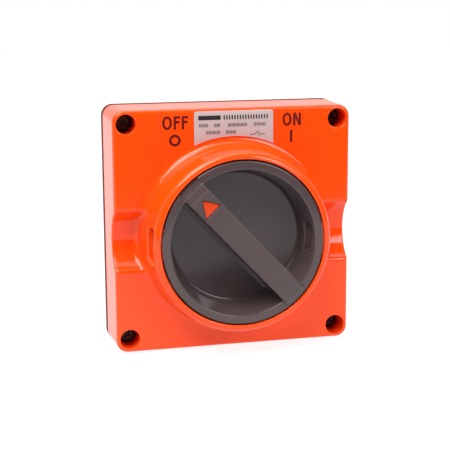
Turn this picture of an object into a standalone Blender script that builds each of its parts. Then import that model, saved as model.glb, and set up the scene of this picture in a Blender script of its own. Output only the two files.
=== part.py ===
"""Rotary isolator switch: a square weatherproof cover with a raised collar, a dished knob with a
diagonal bar, and a three-pole switch body behind it.

Metres, +Z up.  X runs along the width, +Y points back towards the enclosure that the switch is
screwed to, and the origin is the centre of the seal's rear face.  The knob turns about a line
parallel to Y through KNOB_Z.  It is held in the OFF position, with its pointer up and to the left.
"""

import math

import bmesh
import bpy
from mathutils import Matrix, Vector

# Driving dimensions: cover.
COVER_HALF_REAR = 0.0505
COVER_HALF_FRONT = 0.0498
COVER_DEPTH = 0.0276
COVER_WALL = 0.0027
FACE_WALL = 0.0030
CORNER_RADIUS = 0.0047
FRONT_EDGE = 0.0014
SEAL_THICKNESS = 0.0012
SCREW_HALF_PITCH = 0.04433
SCREW_BORE = 0.0040
SCREW_BOSS = 0.0062
HEAD_DEPTH = 0.0085
TROUGH_RADIUS = 0.0141
TROUGH_DEPTH = 0.0070

# Driving dimensions: collar and knob.  Heights are measured forwards from the rear face.
KNOB_Z = -0.00316
FACE = COVER_DEPTH
COLLAR_TOP = FACE + 0.0161
COLLAR_BORE = 0.0340
COLLAR_FOOT = 0.0414
KNOB_RADIUS = 0.0334
DISH_MOUTH = 0.02985
DISH_FLOOR = 0.02715
POINTER_ANGLE = math.radians(133.2)
BAR_TOP = COLLAR_TOP + 0.0020
BAR_WIDTH = 0.0100
PADLOCK_LOW = FACE + 0.0065
PADLOCK_HIGH = FACE + 0.0140
COLLAR_SLOT_HALF = 0.0070
KNOB_WINDOW_HALF = 0.0060

# Driving dimensions: spindle and switch body.  y is measured backwards from the rear face.
SPINDLE_RADIUS = 0.0049
SPINDLE_SQUARE = 0.0068
SQUARE_CLEARANCE = 0.00015
DRUM_RADIUS = 0.0090
DRUM_FRONT_Y = -0.0120
DRUM_REAR_Y = -0.0010
PIN_RADIUS = 0.0014
PIN_Y = -0.0085
GROOVE_RADIUS = 0.0021
CARRIER_TRAVEL = 0.0040
QUARTER_TURN = math.pi / 2
BODY_HALF_X = 0.0340
BODY_HALF_Z = 0.0165
BODY_FRONT_Y = -0.0147
BODY_SPLIT_Y = 0.0
BODY_REAR_Y = 0.0190
CHAMBER_HALF_X = 0.0255
CHAMBER_HALF_Z = 0.0140
WING_HALF_X = 0.0290
WING_HALF_Z = 0.0315
POLE_PITCH = 0.0180
POLES = (-POLE_PITCH, 0.0, POLE_PITCH)
BODY_SCREW_X = 0.0305
BODY_SCREW_Z = 0.0130
STRIP_FRONT_Y = 0.0117
STRIP_THICKNESS = 0.0015
TERMINAL_Z = 0.0240
CONTACT_Z = 0.0120

GAP = 0.00015
OVERLAP = 0.0010
WELD = 0.000001
SEAM_MERGE = 0.00001
ROUND = 64
SMALL_ROUND = 24


def clear_scene():
    """Remove every object of the start-up scene."""
    for obj in list(bpy.data.objects):
        bpy.data.objects.remove(obj, do_unlink=True)


def new_collection(name):
    """A collection linked to the scene."""
    collection = bpy.data.collections.new(name)
    bpy.context.scene.collection.children.link(collection)
    return collection


clear_scene()
PARTS = new_collection("rotary_isolator_switch")
HELPERS = new_collection("cutters")
HELPERS.hide_render = True


def material(name, colour, roughness, metallic=0.0):
    """One Principled material."""
    made = bpy.data.materials.new(name)
    made.use_nodes = True
    shader = made.node_tree.nodes["Principled BSDF"]
    shader.inputs["Base Color"].default_value = (*colour, 1.0)
    shader.inputs["Roughness"].default_value = roughness
    shader.inputs["Metallic"].default_value = metallic
    made.diffuse_color = (*colour, 1.0)
    return made


def empty(name, location):
    """An empty that moving or grouped pieces hang from."""
    holder = bpy.data.objects.new(name, None)
    holder.location = location
    PARTS.objects.link(holder)
    return holder


def as_part(obj, look=None, parent=None):
    """Put an object in the parts collection, with its material and parent."""
    PARTS.objects.link(obj)
    if look is not None:
        obj.data.materials.append(look)
    if parent is not None:
        obj.parent = parent
    return obj


def as_helper(obj):
    """Put an object in the cutters collection, out of the render."""
    HELPERS.objects.link(obj)
    obj.hide_render = True
    obj.display_type = "WIRE"
    return obj


def mesh_object(name, bm):
    """An unlinked object from a bmesh."""
    mesh = bpy.data.meshes.new(name)
    bm.to_mesh(mesh)
    bm.free()
    return bpy.data.objects.new(name, mesh)


def shade(obj, angle_deg=35):
    """Smooth shading with sharp edges above an angle."""
    obj.data.shade_smooth()
    obj.data.set_sharp_from_angle(angle=math.radians(angle_deg))


def block(name, x, y, z, turn=0.0):
    """A box between (low, high) pairs on each axis, turned about Y."""
    bm = bmesh.new()
    bmesh.ops.create_cube(bm, size=1)
    spans = (x, y, z)
    size = Vector([high - low for low, high in spans])
    centre = Vector([(high + low) / 2 for low, high in spans])
    bmesh.ops.scale(bm, vec=size, verts=bm.verts)
    bmesh.ops.translate(bm, vec=centre, verts=bm.verts)
    bmesh.ops.rotate(bm, matrix=Matrix.Rotation(turn, 3, "Y"), verts=bm.verts)
    return mesh_object(name, bm)


def rod(name, radius, y, x=0.0, z=0.0, sides=SMALL_ROUND):
    """A cylinder along Y between the two values of y."""
    bm = bmesh.new()
    bmesh.ops.create_cone(
        bm, cap_ends=True, segments=sides, radius1=radius, radius2=radius, depth=y[1] - y[0]
    )
    bmesh.ops.rotate(bm, matrix=Matrix.Rotation(math.pi / 2, 3, "X"), verts=bm.verts)
    bmesh.ops.translate(bm, vec=(x, (y[0] + y[1]) / 2, z), verts=bm.verts)
    obj = mesh_object(name, bm)
    shade(obj)
    return obj


def cross_rod(name, radius, x, y, z=0.0, sides=SMALL_ROUND):
    """A cylinder along X between the two values of x."""
    bm = bmesh.new()
    bmesh.ops.create_cone(
        bm, cap_ends=True, segments=sides, radius1=radius, radius2=radius, depth=x[1] - x[0]
    )
    bmesh.ops.rotate(bm, matrix=Matrix.Rotation(math.pi / 2, 3, "Y"), verts=bm.verts)
    bmesh.ops.translate(bm, vec=((x[0] + x[1]) / 2, y, z), verts=bm.verts)
    obj = mesh_object(name, bm)
    shade(obj)
    return obj


def turned(name, profile, closed=True, sides=ROUND):
    """A profile of (radius, height forwards) points turned about the Y axis with a Screw."""
    bm = bmesh.new()
    points = [bm.verts.new((radius, 0, height)) for radius, height in profile]
    pairs = list(zip(points, points[1:]))
    if closed:
        pairs.append((points[-1], points[0]))
    for pair in pairs:
        bm.edges.new(pair)
    obj = mesh_object(name, bm)
    obj.rotation_euler = (math.pi / 2, 0, 0)
    screw = obj.modifiers.new("Screw", "SCREW")
    screw.axis = "Z"
    screw.angle = 2 * math.pi
    screw.steps = sides
    screw.render_steps = sides
    screw.use_merge_vertices = True
    screw.merge_threshold = SEAM_MERGE
    screw.use_smooth_shade = True
    return obj


def mesh_from_curve(name, curve, matrix=None):
    """An unlinked mesh object from a curve, with its caps welded on."""
    drawn = bpy.data.objects.new(name + "_curve", curve)
    HELPERS.objects.link(drawn)
    bpy.context.view_layer.update()
    evaluated = drawn.evaluated_get(bpy.context.evaluated_depsgraph_get())
    mesh = bpy.data.meshes.new_from_object(evaluated)
    bpy.data.objects.remove(drawn)
    bm = bmesh.new()
    bm.from_mesh(mesh)
    bmesh.ops.remove_doubles(bm, verts=bm.verts, dist=WELD)
    bmesh.ops.recalc_face_normals(bm, faces=bm.faces)
    if matrix is not None:
        bmesh.ops.transform(bm, matrix=matrix, verts=bm.verts)
    bm.to_mesh(mesh)
    bm.free()
    return bpy.data.objects.new(name, mesh)


def plate(name, outlines, thickness, matrix):
    """Closed outlines in a plane, filled and extruded; the first is the edge, the others are holes."""
    curve = bpy.data.curves.new(name, "CURVE")
    curve.dimensions = "2D"
    curve.fill_mode = "BOTH"
    curve.extrude = thickness / 2
    for outline in outlines:
        spline = curve.splines.new("POLY")
        spline.points.add(len(outline) - 1)
        for point, (x, y) in zip(spline.points, outline):
            point.co = (x, y, 0, 1)
        spline.use_cyclic_u = True
    return mesh_from_curve(name, curve, matrix)


def wire(name, points, radius, resolution):
    """A closed tube along a list of points, as a mesh object."""
    curve = bpy.data.curves.new(name, "CURVE")
    curve.dimensions = "3D"
    curve.bevel_depth = radius
    curve.bevel_resolution = resolution
    curve.use_fill_caps = True
    spline = curve.splines.new("POLY")
    spline.points.add(len(points) - 1)
    for point, place in zip(spline.points, points):
        point.co = (*place, 1)
    return mesh_from_curve(name, curve)


def facing_front(y):
    """Carries an outline drawn in X and Z to a plate centred on y."""
    return Matrix.Translation((0, y, 0)) @ Matrix.Rotation(math.pi / 2, 4, "X")


def rounded_square(half, radius, steps=5):
    """Points of a square outline with round corners."""
    points = []
    for corner in range(4):
        middle = math.pi / 4 + corner * math.pi / 2
        centre_x = math.copysign(half - radius, math.cos(middle))
        centre_y = math.copysign(half - radius, math.sin(middle))
        for step in range(steps + 1):
            angle = middle - math.pi / 4 + step / steps * math.pi / 2
            points.append(
                (centre_x + radius * math.cos(angle), centre_y + radius * math.sin(angle))
            )
    return points


def boolean(target, tool, operation):
    """Add one Boolean modifier; the tool goes with the cutters."""
    as_helper(tool)
    tool.parent = target.parent
    step = target.modifiers.new(operation.title() + " " + tool.name, "BOOLEAN")
    step.operation = operation
    step.object = tool
    return target


def cut(target, tool):
    """Take the tool's volume away."""
    return boolean(target, tool, "DIFFERENCE")


def join(target, tool):
    """Add the tool's volume."""
    return boolean(target, tool, "UNION")


ORANGE = material("orange_plastic", (0.90, 0.10, 0.008), 0.28)
GREY = material("grey_plastic", (0.075, 0.062, 0.064), 0.30)
ARROW_RED = material("arrow_red", (0.72, 0.055, 0.012), 0.35)
LABEL_SILVER = material("label_silver", (0.52, 0.48, 0.50), 0.40)
RUBBER = material("seal_rubber", (0.03, 0.02, 0.018), 0.80)
STEEL = material("zinc_steel", (0.60, 0.60, 0.58), 0.30, 1.0)
BRASS = material("brass", (0.72, 0.50, 0.20), 0.32, 1.0)
COPPER = material("contact_copper", (0.80, 0.42, 0.24), 0.30, 1.0)
BLACK = material("black_plastic", (0.028, 0.028, 0.030), 0.45)
IVORY = material("ivory_plastic", (0.62, 0.58, 0.48), 0.45)
NYLON = material("white_nylon", (0.70, 0.70, 0.66), 0.45)

KNOB_AXIS = empty("knob_axis", (0, 0, KNOB_Z))
CARRIER_AXIS = empty("carrier_axis", (0, 0, KNOB_Z))
SWITCH_AXIS = empty("switch_axis", (0, 0, KNOB_Z))
CORNERS = [(x, z) for z in (1, -1) for x in (-1, 1)]


def tapered_case():
    """The cover's outer block: wider at the back, round corners, a small round on the front edge."""
    bm = bmesh.new()
    bmesh.ops.create_cube(bm, size=2)
    for vert in bm.verts:
        front = vert.co.y < 0
        half = COVER_HALF_FRONT if front else COVER_HALF_REAR
        y = -FACE if front else -SEAL_THICKNESS
        vert.co = (vert.co.x * half, y, vert.co.z * half)
    uprights = [e for e in bm.edges if abs(e.verts[0].co.y - e.verts[1].co.y) > 0.01]
    bmesh.ops.bevel(
        bm, geom=uprights, offset=CORNER_RADIUS, segments=5, profile=0.5, affect="EDGES"
    )
    rim = [e for e in bm.edges if all(v.co.y < -FACE + 0.00001 for v in e.verts)]
    bmesh.ops.bevel(bm, geom=rim, offset=FRONT_EDGE, segments=3, profile=0.5, affect="EDGES")
    obj = mesh_object("front_cover", bm)
    shade(obj, 40)
    return obj


def collar_foot():
    """The concave flare between the face and the collar's flank."""
    profile = [
        (0.0370, FACE + 0.0034),
        (0.0381, FACE + 0.0032),
        (0.0387, FACE + 0.0018),
        (0.0398, FACE + 0.0006),
        (COLLAR_FOOT, FACE - 0.0003),
        (COLLAR_FOOT, FACE - 0.0015),
        (0.0370, FACE - 0.0015),
    ]
    return turned("collar_foot", profile)


def collar_well():
    """The collar, the well that the knob sits in, and the spindle's bearing neck, in one turning."""
    well_floor = FACE - 0.0031
    plate_back = well_floor - 0.0025
    neck_end = 0.0178
    seal_pocket = 0.0072
    bearing = SPINDLE_RADIUS + 0.0001
    profile = [
        (0.0345, COLLAR_TOP),
        (0.0354, COLLAR_TOP),
        (0.0362, COLLAR_TOP - 0.0004),
        (0.0366, COLLAR_TOP - 0.0011),
        (0.0369, COLLAR_TOP - 0.0021),
        (0.0373, FACE + 0.0084),
        (0.0377, FACE + 0.0049),
        (0.0382, FACE + 0.0030),
        (0.0402, FACE + 0.0004),
        (0.0402, 0.0182),
        (0.0368, 0.0182),
        (0.0368, plate_back),
        (0.0080, plate_back),
        (0.0080, neck_end),
        (bearing, neck_end),
        (bearing, plate_back + 0.0003),
        (seal_pocket, plate_back + 0.0003),
        (seal_pocket, well_floor),
        (COLLAR_BORE, well_floor),
        (COLLAR_BORE, COLLAR_TOP - 0.0005),
    ]
    obj = turned("collar_well", profile)
    obj.location.z = KNOB_Z
    return obj


def cavity():
    """The hollow behind the face, less what stays solid round the troughs and the corner screws."""
    half = COVER_HALF_REAR - COVER_WALL
    hollow = block("cavity", (-half, half), (-FACE + FACE_WALL, OVERLAP), (-half, half))
    trough_y = -FACE - TROUGH_RADIUS + TROUGH_DEPTH
    for side in (-1, 1):
        ends = sorted((side * 0.034, side * 0.053))
        keeper = cross_rod(
            "trough_wall", TROUGH_RADIUS + COVER_WALL, ends, trough_y, KNOB_Z, sides=40
        )
        cut(hollow, keeper)
    for x, z in CORNERS:
        keeper = rod(
            "boss_wall",
            SCREW_BOSS,
            (-FACE, OVERLAP * 2),
            x * SCREW_HALF_PITCH,
            z * SCREW_HALF_PITCH,
            sides=20,
        )
        cut(hollow, keeper)
    return hollow


def front_cover():
    """The moulded cover."""
    obj = as_part(tapered_case(), ORANGE)
    foot = collar_foot()
    foot.location.z = KNOB_Z
    join(obj, foot)
    trough_y = -FACE - TROUGH_RADIUS + TROUGH_DEPTH
    cut(obj, cross_rod("troughs", TROUGH_RADIUS, (-0.054, 0.054), trough_y, KNOB_Z, sides=56))
    cut(obj, cavity())
    opening_y = (-FACE - 0.0100, -FACE + FACE_WALL + OVERLAP)
    cut(obj, rod("well_opening", 0.0373, opening_y, 0.0, KNOB_Z, sides=ROUND))
    join(obj, collar_well())
    for x, z in CORNERS:
        post_x = x * BODY_SCREW_X
        post_z = KNOB_Z + z * BODY_SCREW_Z
        join(obj, rod("post", 0.0040, (-0.0225, -0.0150), post_x, post_z, sides=16))
        cut(obj, rod("post_hole", 0.0018, (-0.0206, -0.0140), post_x, post_z, sides=12))
        bore_x = x * SCREW_HALF_PITCH
        bore_z = z * SCREW_HALF_PITCH
        seat = -FACE + HEAD_DEPTH + 0.0041
        cut(obj, rod("bore", SCREW_BORE, (-FACE - OVERLAP, seat), bore_x, bore_z))
        cut(obj, rod("through", 0.0024, (seat - OVERLAP, OVERLAP), bore_x, bore_z, sides=16))
    for side in (-1, 1):
        ends = sorted((side * 0.0325, side * 0.0430))
        cut(
            obj,
            block(
                "padlock_slot",
                ends,
                (-PADLOCK_HIGH, -PADLOCK_LOW),
                (KNOB_Z - COLLAR_SLOT_HALF, KNOB_Z + COLLAR_SLOT_HALF),
            ),
        )
    return obj


def cover_seal():
    """The flat rubber frame between the cover's rim and the enclosure, with a hole at each screw."""
    outer = rounded_square(COVER_HALF_REAR - 0.0002, CORNER_RADIUS - 0.0002)
    inner_half = COVER_HALF_REAR - COVER_WALL + 0.0002
    inner = rounded_square(inner_half, 0.0020, steps=3)
    middle = -(SEAL_THICKNESS - GAP) / 2
    obj = plate("cover_seal", [outer, inner], SEAL_THICKNESS - GAP, facing_front(middle))
    as_part(obj, RUBBER)
    for x, z in CORNERS:
        centre_x = x * SCREW_HALF_PITCH
        centre_z = z * SCREW_HALF_PITCH
        thickness = SEAL_THICKNESS - GAP
        pad = rod("pad", SCREW_BOSS - 0.0003, (-thickness, 0), centre_x, centre_z, sides=20)
        join(obj, pad)
        hole = rod("pad_hole", 0.0025, (-0.002, 0.001), centre_x, centre_z, sides=16)
        cut(obj, hole)
    return obj


def rating_label():
    """The silver plate above the knob; its lower edge follows the collar."""
    half_width = 0.0165
    top = 0.0487
    corner = 0.0010
    arc_radius = COLLAR_FOOT + 0.0002
    arc_half = math.asin(half_width / arc_radius)
    outline = []
    for step in range(13):
        angle = -arc_half + step * 2 * arc_half / 12
        outline.append((arc_radius * math.sin(angle), KNOB_Z + arc_radius * math.cos(angle)))
    for middle_deg, centre_x in ((45, half_width - corner), (135, -half_width + corner)):
        for step in range(4):
            angle = math.radians(middle_deg - 45 + step * 30)
            outline.append(
                (centre_x + corner * math.cos(angle), top - corner + corner * math.sin(angle))
            )
    obj = plate("rating_label", [outline], 0.0004, facing_front(-FACE - 0.00025))
    return as_part(obj, LABEL_SILVER)


def cover_screws():
    """Four captive cover screws and their sealing washers, deep in the corner bores."""
    head_front = -FACE + HEAD_DEPTH
    head_back = head_front + 0.0028
    for number, (x, z) in enumerate(CORNERS, start=1):
        centre_x = x * SCREW_HALF_PITCH
        centre_z = z * SCREW_HALF_PITCH
        screw = rod(f"cover_screw_{number}", 0.0036, (head_front, head_back), centre_x, centre_z)
        as_part(screw, STEEL)
        shank = rod("shank", 0.0020, (head_back - 0.0005, 0.0070), centre_x, centre_z, sides=16)
        join(screw, shank)
        for turn in (0.0, math.pi / 2):
            slot = block(
                "cross",
                (-0.0021, 0.0021),
                (head_front - OVERLAP, head_front + 0.0014),
                (-0.00045, 0.00045),
                turn,
            )
            slot.location = (centre_x, 0, centre_z)
            cut(screw, slot)
        washer = turned(
            f"screw_washer_{number}",
            [(0.0037, 0.0010), (0.0037, 0.0), (0.0022, 0.0), (0.0022, 0.0010)],
            sides=20,
        )
        washer.location = (centre_x, head_back + 0.0001 + 0.0010, centre_z)
        as_part(washer, NYLON)


def knob_dish():
    """The turned dish with its wide rim."""
    floor_back = FACE - 0.0025
    profile = [
        (0.0, FACE),
        (DISH_FLOOR - 0.0010, FACE),
        (DISH_FLOOR, FACE + 0.0007),
        (DISH_MOUTH, COLLAR_TOP - 0.0006),
        (DISH_MOUTH + 0.0005, COLLAR_TOP - 0.0001),
        (KNOB_RADIUS - 0.0006, COLLAR_TOP),
        (KNOB_RADIUS, COLLAR_TOP - 0.0006),
        (KNOB_RADIUS, COLLAR_TOP - 0.0033),
        (KNOB_RADIUS - 0.0006, COLLAR_TOP - 0.0038),
        (0.0313, floor_back + 0.0003),
        (0.0310, floor_back),
        (0.0, floor_back),
    ]
    return turned("knob", profile, closed=False)


def knob_bar():
    """The diagonal bar: proud of the rim, with a long slope at the pointer and a short one behind."""
    embedded = FACE - 0.0010
    ledge = COLLAR_TOP - 0.0030
    outline = [
        (-0.0295, embedded),
        (0.0295, embedded),
        (0.0295, ledge),
        (0.0345, ledge),
        (0.0345, BAR_TOP - 0.0040),
        (0.0263, BAR_TOP),
        (-0.0303, BAR_TOP),
        (-0.0345, BAR_TOP - 0.0026),
        (-0.0345, ledge),
        (-0.0295, ledge),
    ]
    # The outline's x is the bar's length and its y is height, so it stands up from the dish.
    obj = plate("bar", [outline], BAR_WIDTH, Matrix.Rotation(math.pi, 4, "X"))
    obj.parent = KNOB_AXIS
    obj.rotation_euler = (0, -POINTER_ANGLE, 0)
    trim = rod("bar_trim", KNOB_RADIUS - 0.00005, (-0.050, -0.024), sides=ROUND)
    boolean(obj, trim, "INTERSECT")
    obj.modifiers[-1].solver = "MANIFOLD"
    return obj


def along_bar(obj):
    """Turn a helper that was drawn along +X to the bar's direction."""
    obj.rotation_euler = (0, -POINTER_ANGLE, 0)
    return obj


def knob():
    """The knob: dish, bar, padlock windows, drive socket and the hollow under the bar."""
    obj = as_part(knob_dish(), GREY, KNOB_AXIS)
    rim_notch = block(
        "rim_notch",
        (0.0296, 0.0345),
        (-COLLAR_TOP - OVERLAP, -COLLAR_TOP + 0.0028),
        (-BAR_WIDTH / 2 + 0.0001, BAR_WIDTH / 2 - 0.0001),
    )
    cut(obj, along_bar(rim_notch))
    join(obj, knob_bar())
    for side in (-1, 1):
        ends = sorted((side * 0.0250, side * 0.0345))
        cut(
            obj,
            block(
                "window",
                ends,
                (-PADLOCK_HIGH + 0.0005, -PADLOCK_LOW),
                (-KNOB_WINDOW_HALF, KNOB_WINDOW_HALF),
            ),
        )
        hollow = sorted((side * 0.0065, side * 0.0250))
        under_bar = block("under_bar", hollow, (-0.0425, -0.0240), (-0.0028, 0.0028))
        cut(obj, along_bar(under_bar))
    half = SPINDLE_SQUARE / 2 + SQUARE_CLEARANCE
    cut(obj, along_bar(block("socket", (-half, half), (-0.0380, -0.0240), (-half, half))))
    cut(obj, along_bar(arrow("arrow_recess", 0.0002, (-BAR_TOP - OVERLAP, -BAR_TOP + 0.0011))))
    return obj


def arrow(name, margin, y):
    """The pointer triangle near the end of the bar, its point outwards, drawn along +X."""
    point = 0.0250 + margin * 2
    base = 0.0191 - margin
    half = 0.0038 + margin * 1.5
    outline = [(point, 0.0), (base, half), (base, -half)]
    return plate(name, [outline], y[1] - y[0], facing_front((y[0] + y[1]) / 2))


def pointer_arrow():
    """The red inlay in the bar."""
    obj = arrow("pointer_arrow", 0.0, (-BAR_TOP + 0.0004, -BAR_TOP + 0.0010))
    as_part(obj, ARROW_RED, KNOB_AXIS)
    return along_bar(obj)


def spindle():
    """The drive spindle: a square in the knob, a round journal, a clip groove, a rear square."""
    half = SPINDLE_SQUARE / 2
    obj = as_part(rod("spindle", SPINDLE_RADIUS, (-0.0249, -0.0149), sides=32), STEEL, KNOB_AXIS)
    front = block("front_square", (-half, half), (-0.0376, -0.0244), (-half, half))
    join(obj, along_bar(front))
    rear = block("rear_square", (-half, half), (-0.0154, -0.0006), (-half, half))
    join(obj, along_bar(rear))
    groove = turned(
        "clip_groove",
        [(0.0060, 0.0166), (0.0060, 0.0156), (0.0041, 0.0156), (0.0041, 0.0166)],
        sides=32,
    )
    return cut(obj, groove)


def spindle_seal():
    """The O-ring round the spindle, in its pocket under the knob."""
    sides = 8
    wire_radius = 0.00085
    centre = 0.0061
    height = 0.0233
    profile = []
    for step in range(sides):
        angle = -2 * math.pi * step / sides
        profile.append(
            (centre + wire_radius * math.cos(angle), height + wire_radius * math.sin(angle))
        )
    return as_part(turned("spindle_seal", profile, sides=32), RUBBER, KNOB_AXIS)


def retaining_clip():
    """The open clip that keeps the spindle in its neck."""
    profile = [(0.0072, 0.0164), (0.0072, 0.0158), (0.0043, 0.0158), (0.0043, 0.0164)]
    obj = as_part(turned("retaining_clip", profile, sides=32), STEEL, KNOB_AXIS)
    return cut(obj, block("clip_mouth", (-0.0020, 0.0020), (-0.0175, -0.0145), (-0.0090, 0.0)))


def thrust_washer():
    """The washer between the clip and the neck."""
    profile = [(0.0082, 0.0175), (0.0082, 0.0169), (0.0052, 0.0169), (0.0052, 0.0175)]
    return as_part(turned("thrust_washer", profile, sides=32), NYLON, KNOB_AXIS)


def groove_path(start_angle):
    """Points of a helix on the drum: the pin's path, with a little spare at each end."""
    points = []
    steps = 14
    spare = 0.16
    for step in range(steps + 1):
        share = -spare + step / steps * (1 + 2 * spare)
        angle = start_angle + share * QUARTER_TURN
        y = PIN_Y + share * CARRIER_TRAVEL
        points.append((DRUM_RADIUS * math.cos(angle), y, DRUM_RADIUS * math.sin(angle)))
    return points


def cam_drum():
    """The drum on the rear square; its two helical grooves push the carrier back as it turns."""
    obj = rod("cam_drum", DRUM_RADIUS, (DRUM_FRONT_Y, DRUM_REAR_Y), sides=40)
    as_part(obj, IVORY, KNOB_AXIS)
    half = SPINDLE_SQUARE / 2 + SQUARE_CLEARANCE
    bore = block("drum_bore", (-half, half), (-0.0140, 0.0010), (-half, half))
    cut(obj, along_bar(bore))
    for start_angle in (0.0, math.pi):
        cut(obj, wire("groove", groove_path(start_angle), GROOVE_RADIUS, 3))
    return obj


def front_housing():
    """The front half of the switch body, open at the back, round the cam drum."""
    obj = block(
        "front_housing",
        (-BODY_HALF_X, BODY_HALF_X),
        (BODY_FRONT_Y, BODY_SPLIT_Y - GAP),
        (-BODY_HALF_Z, BODY_HALF_Z),
    )
    as_part(obj, IVORY, SWITCH_AXIS)
    edges = obj.modifiers.new("Bevel", "BEVEL")
    edges.width = 0.0008
    edges.segments = 1
    chamber = block(
        "chamber",
        (-CHAMBER_HALF_X, CHAMBER_HALF_X),
        (BODY_FRONT_Y + 0.0022, OVERLAP),
        (-CHAMBER_HALF_Z, CHAMBER_HALF_Z),
    )
    cut(obj, chamber)
    cut(obj, rod("spindle_hole", 0.0056, (BODY_FRONT_Y - OVERLAP, BODY_FRONT_Y + 0.004)))
    for x, z in CORNERS:
        hole = rod(
            "screw_hole",
            0.0018,
            (BODY_FRONT_Y - OVERLAP, OVERLAP),
            x * BODY_SCREW_X,
            z * BODY_SCREW_Z,
            sides=12,
        )
        cut(obj, hole)
    return obj


def rear_housing():
    """The rear half: contact chamber, three terminal compartments above and three below."""
    obj = block(
        "rear_housing",
        (-BODY_HALF_X, BODY_HALF_X),
        (BODY_SPLIT_Y + GAP, BODY_REAR_Y),
        (-BODY_HALF_Z, BODY_HALF_Z),
    )
    as_part(obj, BLACK, SWITCH_AXIS)
    wing_front = 0.0060
    join(
        obj,
        block(
            "wings",
            (-WING_HALF_X, WING_HALF_X),
            (wing_front, BODY_REAR_Y - 0.0002),
            (-WING_HALF_Z, WING_HALF_Z),
        ),
    )
    chamber = block(
        "rear_chamber",
        (-CHAMBER_HALF_X, CHAMBER_HALF_X),
        (-OVERLAP, BODY_REAR_Y - 0.0022),
        (-CHAMBER_HALF_Z, CHAMBER_HALF_Z),
    )
    cut(obj, chamber)
    for side in (-1, 1):
        for x in POLES:
            compartment = sorted((side * 0.0178, side * (WING_HALF_Z + OVERLAP)))
            cut(
                obj,
                block(
                    "compartment",
                    (x - 0.0070, x + 0.0070),
                    (wing_front + 0.0026, BODY_REAR_Y + OVERLAP),
                    compartment,
                ),
            )
            slit = sorted((side * 0.0130, side * 0.0185))
            cut(
                obj,
                block(
                    "strip_slit",
                    (x - 0.0043, x + 0.0043),
                    (STRIP_FRONT_Y - 0.0003, STRIP_FRONT_Y + STRIP_THICKNESS + 0.0003),
                    slit,
                ),
            )
    for x, z in CORNERS:
        centre_x = x * BODY_SCREW_X
        centre_z = z * BODY_SCREW_Z
        cut(obj, rod("screw_hole", 0.0018, (-OVERLAP, 0.018), centre_x, centre_z, sides=12))
        cut(obj, rod("counterbore", 0.0031, (0.0165, 0.0200), centre_x, centre_z, sides=20))
    return obj


def housing_screws():
    """Four long screws through both halves into the cover's posts."""
    for number, (x, z) in enumerate(CORNERS, start=1):
        centre_x = x * BODY_SCREW_X
        centre_z = z * BODY_SCREW_Z
        screw = rod(f"housing_screw_{number}", 0.0027, (0.0168, 0.0186), centre_x, centre_z, sides=20)
        as_part(screw, STEEL, SWITCH_AXIS)
        join(screw, rod("long_shank", 0.0015, (-0.0200, 0.0172), centre_x, centre_z, sides=12))
        slot = block("slot", (-0.0030, 0.0030), (0.0178, 0.0200), (-0.0004, 0.0004), math.pi / 4)
        slot.location = (centre_x, 0, centre_z)
        cut(screw, slot)


def contact_carrier():
    """The sliding carrier: a bar with three windows and two arms whose pins ride in the grooves."""
    obj = block("contact_carrier", (-0.0250, 0.0250), (-0.0005, 0.0078), (-0.0065, 0.0065))
    as_part(obj, NYLON, CARRIER_AXIS)
    for side in (-1, 1):
        arm = sorted((side * 0.0105, side * 0.0135))
        join(obj, block("arm", arm, (-0.0110, 0.0010), (-0.0040, 0.0040)))
        pin = sorted((side * 0.0110, side * 0.0079))
        join(obj, cross_rod("pin", PIN_RADIUS, pin, PIN_Y, sides=16))
    for x in POLES:
        window = block("window", (x - 0.0040, x + 0.0040), (0.0010, 0.0063), (-0.0080, 0.0080))
        cut(obj, window)
    return obj


def bridge_contacts():
    """Three copper bridges, each with two tips, in the carrier's windows."""
    for number, x in enumerate(POLES, start=1):
        bridge = block(
            f"bridge_contact_{number}", (x - 0.0035, x + 0.0035), (0.0048, 0.0060), (-0.0136, 0.0136)
        )
        as_part(bridge, COPPER, CARRIER_AXIS)
        for z in (-CONTACT_Z, CONTACT_Z):
            join(bridge, rod("tip", 0.0014, (0.0055, 0.0068), x, z, sides=16))


def contact_springs():
    """Three coil springs that press the bridges back against their windows."""
    turns = 3
    steps = 9
    low = 0.00145
    high = 0.00435
    for number, x in enumerate(POLES, start=1):
        points = []
        for step in range(turns * steps + 1):
            share = step / (turns * steps)
            angle = share * turns * 2 * math.pi
            points.append(
                (
                    x + 0.0022 * math.cos(angle),
                    low + share * (high - low),
                    0.0022 * math.sin(angle),
                )
            )
        as_part(wire(f"contact_spring_{number}", points, 0.0003, 1), STEEL, CARRIER_AXIS)


def fixed_contacts():
    """Six brass strips with a tip inside and a terminal outside, their screws and wire clamps."""
    number = 0
    strip_back = STRIP_FRONT_Y + STRIP_THICKNESS
    for side in (1, -1):
        for x in POLES:
            number += 1
            ends = sorted((side * 0.0093, side * 0.0295))
            strip = block(
                f"fixed_contact_{number}", (x - 0.0038, x + 0.0038), (STRIP_FRONT_Y, strip_back), ends
            )
            as_part(strip, BRASS, SWITCH_AXIS)
            tip_y = (STRIP_FRONT_Y - 0.0008, STRIP_FRONT_Y + 0.0005)
            join(strip, rod("tip", 0.0016, tip_y, x, side * CONTACT_Z, sides=16))
            hole_y = (STRIP_FRONT_Y - OVERLAP, strip_back + OVERLAP)
            cut(strip, rod("screw_hole", 0.0021, hole_y, x, side * TERMINAL_Z, sides=16))
            terminal(number, x, side * TERMINAL_Z, strip_back)


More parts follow.
